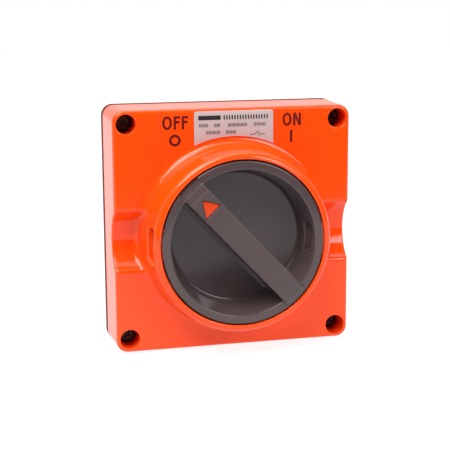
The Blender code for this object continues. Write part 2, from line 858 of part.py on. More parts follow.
def terminal(number, x, z, strip_back):
    """One terminal screw with its square wire clamp."""
    clamp_y = (strip_back + 0.0003, strip_back + 0.0014)
    clamp = block(f"terminal_clamp_{number}", (x - 0.0038, x + 0.0038), clamp_y, (z - 0.0038, z + 0.0038))
    as_part(clamp, STEEL, SWITCH_AXIS)
    cut(clamp, rod("clamp_hole", 0.0021, (clamp_y[0] - OVERLAP, clamp_y[1] + OVERLAP), x, z, sides=16))
    head_y = (clamp_y[1] + 0.0003, clamp_y[1] + 0.0027)
    screw = rod(f"terminal_screw_{number}", 0.0034, head_y, x, z, sides=20)
    as_part(screw, STEEL, SWITCH_AXIS)
    join(screw, rod("shank", 0.0018, (0.0095, head_y[0] + 0.0005), x, z, sides=12))
    slot = block("slot", (-0.0040, 0.0040), (head_y[1] - 0.0010, head_y[1] + 0.0010), (-0.0004, 0.0004))
    slot.location = (x, 0, z)
    cut(screw, slot)


def build():
    """Make every piece."""
    front_cover()
    cover_seal()
    rating_label()
    cover_screws()
    knob()
    pointer_arrow()
    spindle()
    spindle_seal()
    retaining_clip()
    thrust_washer()
    cam_drum()
    front_housing()
    rear_housing()
    housing_screws()
    contact_carrier()
    bridge_contacts()
    contact_springs()
    fixed_contacts()


build()
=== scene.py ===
"""The looks of the rotary isolator switch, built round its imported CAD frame.

Metres in the row frame: X right, +Y back into the enclosure, +Z up.  The two big mouldings (cover and
knob) are drawn as fields in millimetres, of x, z and the height h forwards from the rear face, and
turned into meshes whose normals come from the field, so that every fillet is smooth.
"""

import math

import bmesh
import bpy
import numpy as np
from mathutils import Matrix, Vector


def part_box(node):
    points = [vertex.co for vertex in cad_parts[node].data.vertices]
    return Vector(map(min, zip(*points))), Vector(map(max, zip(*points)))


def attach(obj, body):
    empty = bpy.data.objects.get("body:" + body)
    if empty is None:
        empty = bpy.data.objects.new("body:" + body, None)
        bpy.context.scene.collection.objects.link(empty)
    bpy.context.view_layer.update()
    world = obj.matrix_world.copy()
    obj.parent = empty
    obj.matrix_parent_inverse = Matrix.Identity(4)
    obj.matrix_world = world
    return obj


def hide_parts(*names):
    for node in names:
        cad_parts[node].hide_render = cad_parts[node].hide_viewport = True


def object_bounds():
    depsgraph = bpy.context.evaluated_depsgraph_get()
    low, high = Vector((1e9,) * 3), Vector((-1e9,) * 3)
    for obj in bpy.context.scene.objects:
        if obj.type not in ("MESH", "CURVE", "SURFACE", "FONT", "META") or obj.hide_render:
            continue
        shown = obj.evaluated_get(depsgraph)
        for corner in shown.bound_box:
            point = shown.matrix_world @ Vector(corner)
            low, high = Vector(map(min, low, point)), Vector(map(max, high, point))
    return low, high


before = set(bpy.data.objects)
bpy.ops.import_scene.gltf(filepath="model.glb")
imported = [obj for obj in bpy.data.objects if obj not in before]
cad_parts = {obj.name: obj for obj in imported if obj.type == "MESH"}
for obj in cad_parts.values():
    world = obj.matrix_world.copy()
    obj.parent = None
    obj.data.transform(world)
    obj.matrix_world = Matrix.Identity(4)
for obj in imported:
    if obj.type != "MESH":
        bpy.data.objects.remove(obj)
CAD_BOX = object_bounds()
MM = 0.001

# Driving dimensions, in millimetres, the same as the CAD model's.
KNOB_Z = (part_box("knob")[0].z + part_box("knob")[1].z) / 2 / MM
SEAL = 1.2
FACE = 27.6
FACE_WALL = 3.0
COLLAR_TOP = FACE + 16.1
HALF_REAR = 50.5
HALF_FRONT = 49.8
CORNER = 4.7
WALL = 2.7
SCREW_PITCH = 44.33
BORE = 4.0
BOSS = 6.2
HEAD_DEPTH = 8.5
TROUGH_R = 14.1
TROUGH_H = FACE + TROUGH_R - 7.0
COLLAR_BORE = 34.0
WELL_FLOOR = FACE - 3.1
PLATE_BACK = WELL_FLOOR - 2.5
KNOB_R = 33.4
BAR_TOP = COLLAR_TOP + 2.0
BAR_HALF = 5.0
BAR_ANGLE = math.radians(133.2)
PADLOCK_LOW = FACE + 6.5
PADLOCK_HIGH = FACE + 14.0
PANEL_LINES = (18.3, 30.6)
PANEL_DROP = 0.2
FLAT_BLOCK = 5.0
# The pointer triangle, measured along the bar from the knob's axis.
ARROW_POINT = 25.0
ARROW_BASE = 19.1
ARROW_HALF = 3.8
# The seal's lip, which wraps the cover's rear edge: a dark band deeper than the seal itself, painting the
# shade and dark reflection along that edge.
LIP = 0.45
LIP_TOP = SEAL + 3.8


# ---------------------------------------------------------------- fields


def meet(a, b, r=0.0):
    """What is inside both, its edge rounded to r."""
    return np.minimum(-r, np.maximum(a, b)) + np.hypot(np.maximum(r + a, 0), np.maximum(r + b, 0))


def join(a, b, r=0.0):
    """What is inside either, its inner corner filled to r."""
    return -meet(-a, -b, r)


def cut(a, b, r=0.0):
    """What is inside a and not inside b."""
    return meet(a, -b, r)


def rounded_square(x, z, half, r):
    """Distance to a square with round corners."""
    qx = np.abs(x) - half + r
    qz = np.abs(z) - half + r
    return np.minimum(np.maximum(qx, qz), 0) + np.hypot(np.maximum(qx, 0), np.maximum(qz, 0)) - r


def slab(value, low, high):
    """Distance to a layer between two values."""
    return np.abs(value - (low + high) / 2) - (high - low) / 2


def slope(value, height, at, drop, run):
    """A plane through (at, drop's start) that falls by drop over run."""
    length = math.hypot(drop, run)
    return ((value - at) * drop + height * run) / length


def step_down(x, at, width):
    """0 before at, 1 after it, smooth over width."""
    t = np.clip((x - at) / width + 0.5, 0, 1)
    return t * t * (3 - 2 * t)


def cover_field(x, h, z):
    """The moulded cover: case, troughs, collar, well, bores, bosses and posts."""
    zk = z - KNOB_Z
    r = np.hypot(x, zk)
    taper = HALF_REAR + (HALF_FRONT - HALF_REAR) * (h - SEAL) / (FACE - SEAL)
    taper = taper - (LIP + 0.05) * (1 - step_down(h, LIP_TOP + 0.1, 0.25))
    ax = np.abs(x)
    # The legend panels are a touch lower than the rest of the face.
    panel = step_down(ax, PANEL_LINES[0], 0.35) - step_down(ax, PANEL_LINES[1], 0.35)
    face = FACE - PANEL_DROP * panel * step_down(z, 8.0, 4.0)
    case = meet(rounded_square(x, z, taper, CORNER), h - face, 1.4)
    trough = np.hypot(h - TROUGH_H, zk) - TROUGH_R
    case = cut(case, trough, 0.9)
    inner = HALF_REAR - WALL
    hollow = meet(rounded_square(x, z, inner, 2.0), h - (FACE - FACE_WALL), 1.0)
    hollow = np.maximum(hollow, -np.maximum(trough - WALL, 34.0 - ax))
    corner = np.hypot(ax - SCREW_PITCH, np.abs(z) - SCREW_PITCH)
    hollow = cut(hollow, corner - BOSS, 0.6)
    case = np.maximum(cut(case, hollow, 0.25), SEAL - h)
    flank = (r - (38.2 - 0.118 * (h - FACE - 3.0))) * 0.993
    collar = np.maximum(meet(flank, h - COLLAR_TOP, 2.3), 18.2 - h)
    solid = join(case, collar, 3.0)
    solid = cut(solid, np.maximum(r - COLLAR_BORE, WELL_FLOOR - h), 0.45)
    solid = np.maximum(solid, -np.maximum(r - 36.8, h - PLATE_BACK))
    neck = np.maximum(np.maximum(r - 8.0, 17.8 - h), h - WELL_FLOOR)
    solid = join(solid, neck, 0.4)
    px = ax - 30.5
    pz = np.abs(zk) - 13.0
    post = np.maximum(np.hypot(px, pz) - 4.0, slab(h, 15.0, PLATE_BACK + 0.5))
    solid = join(solid, post, 0.4)
    solid = np.maximum(solid, -np.maximum(np.hypot(px, pz) - 1.8, slab(h, 14.0, 20.6)))
    solid = np.maximum(solid, -np.maximum(r - 5.0, slab(h, 16.0, 30.0)))
    solid = np.maximum(solid, -np.maximum(r - 7.2, slab(h, PLATE_BACK + 0.3, 30.0)))
    seat = FACE - HEAD_DEPTH - 4.1
    solid = cut(solid, np.maximum(corner - BORE, seat - h), 0.4)
    solid = np.maximum(solid, -(corner - 2.4))
    slot_middle = (PADLOCK_LOW + PADLOCK_HIGH) / 2
    slot_half = (PADLOCK_HIGH - PADLOCK_LOW) / 2
    qh = np.abs(h - slot_middle) - slot_half + 1.6
    qz = np.abs(zk) - 7.0 + 1.6
    slot = np.minimum(np.maximum(qh, qz), 0) + np.hypot(np.maximum(qh, 0), np.maximum(qz, 0)) - 1.6
    slot = np.maximum(slot, slab(ax, 32.5, 43.0))
    return cut(solid, slot, 0.5)


def knob_field(s, h, t):
    """The knob, with s along the bar towards the pointer and t across it."""
    r = np.hypot(s, t)
    back = FACE - 2.5
    cone = (r - (31.3 + (h - back) * 0.1034)) * 0.995
    body = meet(cone, slab(h, back, COLLAR_TOP - 1.5), 0.3)
    rim = meet(r - KNOB_R, slab(h, COLLAR_TOP - 3.4, COLLAR_TOP), 0.55)
    body = join(body, rim, 0.3)
    # The floor is a shallow bowl, deepest in the middle.
    floor = FACE - 0.9 + 1.8 * (r / 27.0) ** 2
    dish = meet((r - (27.15 + 0.1677 * (h - FACE))) * 0.986, floor - h, 1.1)
    body = cut(body, dish, 0.5)
    notch = meet(slab(s, 29.6, 36.0), COLLAR_TOP - 2.8 - h, 0.0)
    body = np.maximum(body, -np.maximum(notch, np.abs(t) - BAR_HALF + 0.1))
    top = h - BAR_TOP
    # The bar slopes down at the pointer's end, and in two steps at the other.
    top = meet(top, slope(s, top, 26.3, 4.0, 8.2), 0.25)
    top = meet(top, slope(-s, top, 21.0, 0.8, 12.0), 0.1)
    top = meet(top, slope(-s, top, 30.3, 2.6, 4.2), 0.25)
    bar = meet(np.abs(t) - BAR_HALF, top, 0.85)
    bar = meet(bar, r - 33.35, 0.4)
    bar = np.maximum(bar, FACE - 1.0 - h)
    bar = np.maximum(bar, -np.maximum(slab(r, 29.8, 40.0), h - (COLLAR_TOP - 3.0)))
    body = join(body, bar, 0.55)
    x = s * math.cos(BAR_ANGLE) - t * math.sin(BAR_ANGLE)
    z = s * math.sin(BAR_ANGLE) + t * math.cos(BAR_ANGLE)
    window = meet(slab(h, PADLOCK_LOW, PADLOCK_HIGH - 0.5), np.abs(z) - 6.0, 0.6)
    body = cut(body, np.maximum(window, slab(np.abs(x), 25.0, 36.0)), 0.35)
    under = np.maximum(np.maximum(np.abs(t) - 2.8, slab(np.abs(s), 6.5, 25.0)), h - 42.5)
    body = np.maximum(body, -under)
    body = np.maximum(body, -np.maximum(np.maximum(np.abs(s), np.abs(t)) - 3.55, h - 38.0))
    return cut(body, np.maximum(arrow_field(s, t, 0.3), BAR_TOP - 1.1 - h), 0.12)


def arrow_field(s, t, margin):
    """Distance to the pointer triangle, grown by margin."""
    run = ARROW_POINT - ARROW_BASE
    side = ((s - ARROW_BASE) * ARROW_HALF + (np.abs(t) - ARROW_HALF) * run) / math.hypot(run, ARROW_HALF)
    return np.maximum(ARROW_BASE - s, side) - margin


def gradient(field, points, reach=0.01):
    """The field's unit gradient at the points, and its length."""
    columns = []
    for axis in range(3):
        offset = np.zeros(3)
        offset[axis] = reach
        ahead = field(*(points + offset).T)
        behind = field(*(points - offset).T)
        columns.append((ahead - behind) / (2 * reach))
    slope_of = np.stack(columns, 1)
    length = np.maximum(np.linalg.norm(slope_of, axis=1, keepdims=True), 1e-6)
    return slope_of / length, length[:, 0]


def grid_line(low, high, step, fine=()):
    """Grid values from low to high: step apart, or closer inside each (from, to, step) of fine."""
    values = [low]
    while values[-1] < high:
        here = values[-1] + 1e-9
        gap = step
        for start, end, small in fine:
            if start <= here < end:
                gap = min(gap, small)
            elif here < start < here + gap:
                gap = start - here + 1e-9
        values.append(values[-1] + gap)
    return np.array(values)


CORNERS = [(i, j, k) for i in (0, 1) for j in (0, 1) for k in (0, 1)]
EDGES = [
    (a, b)
    for a in range(8)
    for b in range(a + 1, 8)
    if sum(abs(p - q) for p, q in zip(CORNERS[a], CORNERS[b])) == 1
]


def surface(field, axes):
    """Vertices and quads of field = 0 on a grid: one vertex in each cell that the surface crosses."""
    mesh = np.meshgrid(*axes, indexing="ij")
    values = field(*mesh)
    inside = values < 0
    shape = [n - 1 for n in inside.shape]
    count = np.zeros(shape, np.int8)
    for i, j, k in CORNERS:
        count += inside[i : i + shape[0], j : j + shape[1], k : k + shape[2]]
    cells = np.argwhere((count > 0) & (count < 8))
    index = np.full(shape, -1, np.int64)
    index[tuple(cells.T)] = np.arange(len(cells))
    places = []
    levels = []
    for offset in CORNERS:
        at = cells + np.array(offset)
        places.append(np.stack([axis[at[:, n]] for n, axis in enumerate(axes)], 1))
        levels.append(values[tuple(at.T)])
    total = np.zeros((len(cells), 3))
    crossings = np.zeros(len(cells))
    for a, b in EDGES:
        crossed = (levels[a] < 0) != (levels[b] < 0)
        gap = np.where(crossed, levels[a] - levels[b], 1.0)
        share = np.where(crossed, levels[a] / gap, 0.0)[:, None]
        total += np.where(crossed[:, None], places[a] + share * (places[b] - places[a]), 0.0)
        crossings += crossed
    points = total / crossings[:, None]
    quads = []
    for axis in range(3):
        u, v = (axis + 1) % 3, (axis + 2) % 3
        low = [slice(1, -1)] * 3
        high = [slice(1, -1)] * 3
        low[axis] = slice(0, -1)
        high[axis] = slice(1, None)
        crossed = inside[tuple(low)] != inside[tuple(high)]
        at = np.argwhere(crossed)
        at[:, u] += 1
        at[:, v] += 1
        outward = inside[tuple(at.T)]
        around = []
        for du, dv in ((-1, -1), (0, -1), (0, 0), (-1, 0)):
            cell = at.copy()
            cell[:, u] += du
            cell[:, v] += dv
            around.append(index[tuple(cell.T)])
        quad = np.stack(around, 1)
        quads.append(np.where(outward[:, None], quad, quad[:, ::-1]))
    return points, np.concatenate(quads)


def settle(field, points, furthest):
    """Move each point onto the surface."""
    start = points.copy()
    for _ in range(6):
        direction, length = gradient(field, points)
        reach = np.clip(field(*points.T) / length, -furthest, furthest)
        points = points - direction * reach[:, None]
        points = np.clip(points, start - furthest, start + furthest)
    return points


def moulding(name, field, axes, place, flat_deg=0.25):
    """A mesh object of a field.  place turns field coordinates in millimetres to metres."""
    points, quads = surface(field, axes)
    points = settle(field, points, 0.3)
    mesh = bpy.data.meshes.new(name)
    mesh.from_pydata(points, [], quads)
    # Flat stretches are merged within blocks, told apart by a checker of material numbers.
    checker = np.floor(points[quads].mean(1) / FLAT_BLOCK).sum(1).astype(np.int32) % 2
    mesh.polygons.foreach_set("material_index", checker)
    bm = bmesh.new()
    bm.from_mesh(mesh)
    bmesh.ops.dissolve_limit(
        bm,
        angle_limit=math.radians(flat_deg),
        verts=bm.verts,
        edges=bm.edges,
        delimit={"MATERIAL"},
    )
    bmesh.ops.triangulate(bm, faces=[f for f in bm.faces if len(f.verts) > 4])
    for face in bm.faces:
        face.material_index = 0
    bm.to_mesh(mesh)
    bm.free()
    kept = np.array([v.co for v in mesh.vertices], float)
    normals = gradient(field, kept)[0]
    mesh.transform(place)
    turn = np.array(place.to_3x3().normalized())
    normals = normals @ turn.T
    if place.determinant() < 0:
        mesh.flip_normals()
    mesh.shade_smooth()
    mesh.normals_split_custom_set_from_vertices(normals)
    obj = bpy.data.objects.new(name, mesh)
    bpy.context.scene.collection.objects.link(obj)
    return obj


def front_view_place():
    """Field coordinates (x, h, z) in millimetres to the row frame: h runs towards -Y."""
    return Matrix.Diagonal((MM, -MM, MM, 1))


def bar_place():
    """The knob field's (s, h, t) to the row frame."""
    turn = Matrix.Rotation(-BAR_ANGLE, 4, "Y")
    return Matrix.Translation((0, 0, KNOB_Z * MM)) @ turn @ Matrix.Diagonal((MM, -MM, MM, 1))


# ---------------------------------------------------------------- materials


class Nodes:
    """A short way to build one material's nodes."""

    def __init__(self, name):
        self.material = bpy.data.materials.new(name)
        self.material.use_nodes = True
        self.tree = self.material.node_tree
        self.shader = self.tree.nodes["Principled BSDF"]
        coordinates = self.tree.nodes.new("ShaderNodeTexCoord")
        self.place = coordinates.outputs["Object"]

    def add(self, kind, inputs=(), **settings):
        """A node with settings, and inputs given as values or as other nodes' outputs."""
        node = self.tree.nodes.new(kind)
        for key, value in settings.items():
            setattr(node, key, value)
        for key, value in dict(inputs).items():
            self.put(node.inputs[key], value)
        return node

    def put(self, socket, value):
        """A value or a link on one socket."""
        if isinstance(value, bpy.types.NodeSocket):
            self.tree.links.new(value, socket)
        else:
            socket.default_value = value

    def noise(self, scale, detail=3.0, roughness=0.5):
        """Noise from 0 to 1 in object space; scale is in cycles per metre."""
        node = self.add(
            "ShaderNodeTexNoise",
            {"Vector": self.place, "Scale": scale, "Detail": detail, "Roughness": roughness},
        )
        return node.outputs["Fac"]

    def ramp(self, value, low, high, start=0.3, end=0.7):
        """Map value from start..end to low..high."""
        node = self.add(
            "ShaderNodeMapRange",
            {"Value": value, "From Min": start, "From Max": end, "To Min": low, "To Max": high},
        )
        return node.outputs["Result"]

    def mix(self, share, first, second, blend="MIX"):
        """Mix two colours."""
        node = self.add("ShaderNodeMix", data_type="RGBA", blend_type=blend)
        self.put(node.inputs[0], share)
        self.put(node.inputs[6], first)
        self.put(node.inputs[7], second)
        return node.outputs[2]

    def product(self, a, b):
        """a times b."""
        node = self.add("ShaderNodeMath", operation="MULTIPLY")
        self.put(node.inputs[0], a)
        self.put(node.inputs[1], b)
        return node.outputs[0]

    def bump(self, heights, normal=None):
        """Bumps from (height output, strength, distance in metres) in turn."""
        for height, strength, distance in heights:
            node = self.add("ShaderNodeBump", {"Height": height, "Strength": strength, "Distance": distance})
            if normal is not None:
                self.put(node.inputs["Normal"], normal)
            normal = node.outputs["Normal"]
        self.put(self.shader.inputs["Normal"], normal)

    def finish(self, colour, roughness, metallic=0.0, **others):
        """Set the shader's main sockets."""
        self.put(self.shader.inputs["Base Color"], colour)
        self.put(self.shader.inputs["Roughness"], roughness)
        self.shader.inputs["Metallic"].default_value = metallic
        for key, value in others.items():
            self.shader.inputs[key.replace("_", " ")].default_value = value
        return self.material


def rgb(red, green, blue):
    """A linear colour from 0 to 1 channels."""
    return (red, green, blue, 1.0)


def shifted(colour, factor, lift=0.0):
    """A lighter or darker version of a colour."""
    return rgb(*[channel * factor + lift for channel in colour[:3]])


MATT_ROUGHNESS = 0.42


def moulded_plastic(name, colour, roughness, grain=0.25, worn=0.12, matt_above=None):
    """Glossy moulded plastic: flow marks, a fine spark-eroded grain, rubbed edges and faint scuffs.

    Everything further forward than matt_above, in millimetres, is matt.
    """
    n = Nodes(name)
    flow = n.noise(38, 4, 0.55)
    cloud = n.noise(160, 3)
    base = n.mix(n.ramp(flow, 0.0, 1.0), shifted(colour, 0.93), shifted(colour, 1.05))
    base = n.mix(n.ramp(cloud, 0.0, 0.25), base, shifted(colour, 0.97, 0.004))
    pointy = n.add("ShaderNodeNewGeometry").outputs["Pointiness"]
    edge = n.ramp(pointy, 0.0, worn, 0.53, 0.60)
    rubbed = n.product(edge, n.ramp(n.noise(900, 4), 0.2, 1.0))
    base = n.mix(rubbed, base, shifted(colour, 1.15, 0.05))
    scuff = n.add(
        "ShaderNodeTexNoise",
        {
            "Vector": n.add(
                "ShaderNodeMapping", {"Vector": n.place, "Rotation": (0.3, 0.9, 0.2), "Scale": (1, 1, 14)}
            ).outputs["Vector"],
            "Scale": 210.0,
            "Detail": 2.0,
        },
    ).outputs["Fac"]
    scuffed = n.ramp(scuff, 0.0, 1.0, 0.66, 0.78)
    rough = n.add("ShaderNodeMath", operation="ADD")
    n.put(rough.inputs[0], n.ramp(cloud, roughness * 0.85, roughness * 1.2))
    n.put(rough.inputs[1], n.product(scuffed, 0.05))
    final_rough = rough.outputs[0]
    if matt_above is not None:
        depth = n.add("ShaderNodeSeparateXYZ", {"Vector": n.place}).outputs["Y"]
        front = n.ramp(depth, 1.0, 0.0, -(matt_above + 0.1) * MM, -(matt_above - 0.1) * MM)
        blend = n.add("ShaderNodeMapRange", {"Value": front, "To Max": MATT_ROUGHNESS})
        n.put(blend.inputs["To Min"], final_rough)
        final_rough = blend.outputs["Result"]
    grain_height = n.noise(5200, 2)
    n.bump([(flow, 0.05, 0.0002), (grain_height, grain, 0.00002)])
    return n.finish(base, final_rough, Specular_IOR_Level=0.4)


def matt_rubber(name, colour):
    """Soft black rubber with a dusty bloom."""
    n = Nodes(name)
    bloom = n.noise(240, 5, 0.6)
    base = n.mix(n.ramp(bloom, 0.0, 1.0), shifted(colour, 0.8), shifted(colour, 1.3, 0.006))
    n.bump([(n.noise(3600, 3), 0.35, 0.00005), (bloom, 0.2, 0.0001)])
    return n.finish(base, n.ramp(bloom, 0.62, 0.85), Specular_IOR_Level=0.15)


def plated_metal(name, colour, roughness, grain_turn=(0.0, 0.0, 0.0), tarnish=0.35):
    """Plated or bare metal: drawn grain, tarnish in clouds, tiny dents."""
    n = Nodes(name)
    cloud = n.noise(420, 4, 0.6)
    lines = n.add(
        "ShaderNodeTexNoise",
        {
            "Vector": n.add(
                "ShaderNodeMapping", {"Vector": n.place, "Rotation": grain_turn, "Scale": (1, 1, 22)}
            ).outputs["Vector"],
            "Scale": 700.0,
            "Detail": 3.0,
        },
    ).outputs["Fac"]
    base = n.mix(n.ramp(cloud, 0.0, tarnish), colour, shifted(colour, 0.55))
    rough = n.ramp(lines, roughness * 0.75, roughness * 1.5)
    n.bump([(lines, 0.12, 0.00003), (cloud, 0.15, 0.00006)])
    return n.finish(base, rough, metallic=1.0)


def printed_foil(name, colour):
    """The silver rating label: brushed foil under a clear film, slightly blotched."""
    n = Nodes(name)
    brushed = n.add(
        "ShaderNodeTexNoise",
        {
            "Vector": n.add("ShaderNodeMapping", {"Vector": n.place, "Scale": (1, 1, 40)}).outputs["Vector"],
            "Scale": 900.0,
            "Detail": 3.0,
        },
    ).outputs["Fac"]
    blotch = n.noise(180, 3)
    base = n.mix(n.ramp(brushed, 0.0, 1.0), shifted(colour, 0.94), shifted(colour, 1.05))
    base = n.mix(n.ramp(blotch, 0.0, 0.2), base, shifted(colour, 0.9))
    n.bump([(brushed, 0.08, 0.00002)])
    return n.finish(base, n.ramp(blotch, 0.30, 0.42), metallic=0.12)


def painted_mark(name, colour):
    """Ink or paint for legends and the label's print: slightly uneven."""
    n = Nodes(name)
    uneven = n.noise(1500, 4, 0.6)
    base = n.mix(n.ramp(uneven, 0.0, 1.0), shifted(colour, 0.8), shifted(colour, 1.25, 0.004))
    n.bump([(uneven, 0.2, 0.00003)])
    return n.finish(base, n.ramp(uneven, 0.38, 0.55), Specular_IOR_Level=0.12)


ORANGE = moulded_plastic("orange_moulding", rgb(0.93, 0.066, 0.0025), 0.11, grain=0.12, worn=0.10)
GREY = moulded_plastic(
    "grey_moulding", rgb(0.072, 0.052, 0.056), 0.09, grain=0.10, worn=0.10, matt_above=BAR_TOP - 0.4
)
ARROW = moulded_plastic("arrow_red", rgb(0.68, 0.048, 0.006), 0.25, grain=0.2)
FOIL = printed_foil("label_foil", rgb(0.50, 0.445, 0.465))
LEGEND = painted_mark("legend_paint", rgb(0.095, 0.006, 0.004))
PRINT = painted_mark("label_print", rgb(0.020, 0.018, 0.020))
# Near-black seal rubber, tinted maroon as a painted reflection of the orange cover.
SEAL_RUBBER_WITH_PAINTED_REFLECTION = matt_rubber("seal_rubber", rgb(0.110, 0.016, 0.010))
O_RING = matt_rubber("o_ring_rubber", rgb(0.016, 0.016, 0.017))
# Zinc-plated screw heads, darkened to paint the shade at the bottom of their bores.
SCREW_HEAD_PAINTED_SHADE = plated_metal("steel_darkened_for_bore_shade", rgb(0.075, 0.066, 0.066), 0.45)
STEEL = plated_metal("zinc_plate", rgb(0.56, 0.56, 0.57), 0.27)
BRASS = plated_metal("brass", rgb(0.70, 0.48, 0.20), 0.30)
COPPER = plated_metal("contact_copper", rgb(0.78, 0.40, 0.24), 0.28)
BLACK = moulded_plastic("black_housing", rgb(0.022, 0.022, 0.024), 0.34, grain=0.5)
IVORY = moulded_plastic("ivory_housing", rgb(0.60, 0.55, 0.44), 0.36, grain=0.4)
NYLON = moulded_plastic("white_nylon", rgb(0.68, 0.68, 0.64), 0.38, grain=0.4)


# ---------------------------------------------------------------- pieces


def piece(obj, body, slot, material, *nodes):
    """Give a new piece its material and body, and hide the CAD nodes that it stands for; slot is not used."""
    obj.data.materials.clear()
    obj.data.materials.append(material)
    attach(obj, body)
    if nodes:
        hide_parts(*nodes)
    return obj


def front_cover():
    """The orange moulding."""
    # The grid is finer where the legend panels step down, and coarser up the plain walls.
    panel_steps = [(-31.2, -30.0, 0.12), (-18.9, -17.7, 0.12), (17.7, 18.9, 0.12), (30.0, 31.2, 0.12)]
    height_steps = [(0.9, 1.5, 0.15), (3.0, 14.0, 1.4), (26.0, 28.0, 0.3), (42.0, 44.0, 0.3)]
    across = grid_line(-51.0, 51.0, 0.55, panel_steps)
    heights = grid_line(0.7, 44.2, 0.5, height_steps)
    upright = grid_line(-51.0, 51.0, 0.55)
    cover = moulding("cover_moulding", cover_field, (across, heights, upright), front_view_place())
    return piece(cover, "cover_and_body", "orange_plastic", ORANGE, "front_cover")


def knob():
    """The grey dished knob with its bar."""
    along = grid_line(-33.9, 33.9, 0.42, [(18.6, 26.0, 0.2), (29.0, 30.2, 0.2)])
    heights = grid_line(24.8, 46.2, 0.4, [(42.5, 46.2, 0.2)])
    across = grid_line(-33.9, 33.9, 0.42, [(-5.6, -3.8, 0.2), (3.8, 5.6, 0.2)])
    turned = moulding("knob_moulding", knob_field, (along, heights, across), bar_place())
    return piece(turned, "knob_and_spindle", "grey_plastic", GREY, "knob")


def mesh_from(name, bm):
    """A linked mesh object from a bmesh, smooth with sharp edges kept."""
    mesh = bpy.data.meshes.new(name)
    bm.to_mesh(mesh)
    bm.free()
    mesh.shade_smooth()
    mesh.set_sharp_from_angle(angle=math.radians(38))
    obj = bpy.data.objects.new(name, mesh)
    bpy.context.scene.collection.objects.link(obj)
    return obj


def applied(obj):
    """The object with its modifiers made part of its mesh."""
    bpy.context.view_layer.update()
    evaluated = obj.evaluated_get(bpy.context.evaluated_depsgraph_get())
    mesh = bpy.data.meshes.new_from_object(evaluated)
    obj.modifiers.clear()
    obj.data = mesh
    return obj


def turned(name, profile, centre, sides=48):
    """A closed body of revolution about Y: (radius, y) points in mm from centre, axis to axis."""
    bm = bmesh.new()
    rings = []
    for radius, y in profile:
        if radius == 0:
            rings.append([bm.verts.new((0, y, 0))])
            continue
        ring = []
        for step in range(sides):
            angle = 2 * math.pi * step / sides
            ring.append(bm.verts.new((radius * math.cos(angle), y, radius * math.sin(angle))))
        rings.append(ring)
    for first, second in zip(rings, rings[1:]):
        for step in range(sides):
            after = (step + 1) % sides
            if len(first) == 1:
                bm.faces.new((first[0], second[step], second[after]))
            elif len(second) == 1:
                bm.faces.new((first[step], second[0], first[after]))
            else:
                bm.faces.new((first[step], second[step], second[after], first[after]))
    bmesh.ops.recalc_face_normals(bm, faces=bm.faces)
    place = Matrix.Translation(Vector(centre)) @ Matrix.Scale(MM, 4)
    bmesh.ops.transform(bm, matrix=place, verts=bm.verts)
    return mesh_from(name, bm)


def softened(node, body, slot, material, width=0.25, segments=2, angle=42):
    """A CAD node's shape with its edges rounded to width millimetres."""
    bm = bmesh.new()
    bm.from_mesh(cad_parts[node].data)
    bmesh.ops.remove_doubles(bm, verts=bm.verts, dist=0.000005)
    bmesh.ops.dissolve_limit(bm, angle_limit=math.radians(1.0), verts=bm.verts, edges=bm.edges)
    sharp = [e for e in bm.edges if len(e.link_faces) == 2 and e.calc_face_angle() > math.radians(angle)]
    bmesh.ops.bevel(
        bm,
        geom=sharp,
        offset=width * MM,
        offset_type="OFFSET",
        segments=segments,
        profile=0.5,
        affect="EDGES",
        clamp_overlap=True,
    )
    bmesh.ops.triangulate(bm, faces=[f for f in bm.faces if len(f.verts) > 4])
    return piece(mesh_from(node + "_rounded", bm), body, slot, material, node)


def outline_plate(name, outlines, y, thickness, bevel=0.0):
    """Closed outlines in X and Z, in mm, filled, thickened and set at depth y in mm; the rest are holes."""
    curve = bpy.data.curves.new(name, "CURVE")
    curve.dimensions = "2D"
    curve.fill_mode = "BOTH"
    curve.extrude = thickness / 2 - bevel
    curve.bevel_depth = bevel
    curve.bevel_resolution = 2
    for outline in outlines:
        spline = curve.splines.new("POLY")
        spline.points.add(len(outline) - 1)
        for point, (x, z) in zip(spline.points, outline):
            point.co = (x, z, 0, 1)
        spline.use_cyclic_u = True
    drawn = bpy.data.objects.new(name + "_curve", curve)
    bpy.context.scene.collection.objects.link(drawn)
    bpy.context.view_layer.update()
    evaluated = drawn.evaluated_get(bpy.context.evaluated_depsgraph_get())
    mesh = bpy.data.meshes.new_from_object(evaluated)
    bpy.data.objects.remove(drawn)
    bm = bmesh.new()
    bm.from_mesh(mesh)
    bpy.data.meshes.remove(mesh)
    bmesh.ops.remove_doubles(bm, verts=bm.verts, dist=0.001)
    bmesh.ops.recalc_face_normals(bm, faces=bm.faces)
    place = Matrix.Translation((0, y * MM, 0)) @ Matrix.Rotation(math.pi / 2, 4, "X") @ Matrix.Scale(MM, 4)
    bmesh.ops.transform(bm, matrix=place, verts=bm.verts)
    return mesh_from(name, bm)


def ellipse(x, z, half_x, half_z, sides=40):
    """Points of an ellipse."""
    return [
        (x + half_x * math.cos(2 * math.pi * k / sides), z + half_z * math.sin(2 * math.pi * k / sides))
        for k in range(sides)
    ]


def bar_between(a, b, width):
    """The outline of a straight stroke."""
    (ax, az), (bx, bz) = a, b
    length = math.hypot(bx - ax, bz - az)
    nx, nz = (bz - az) / length * width / 2, -(bx - ax) / length * width / 2
    return [(ax + nx, az + nz), (bx + nx, bz + nz), (bx - nx, bz - nz), (ax - nx, az - nz)]


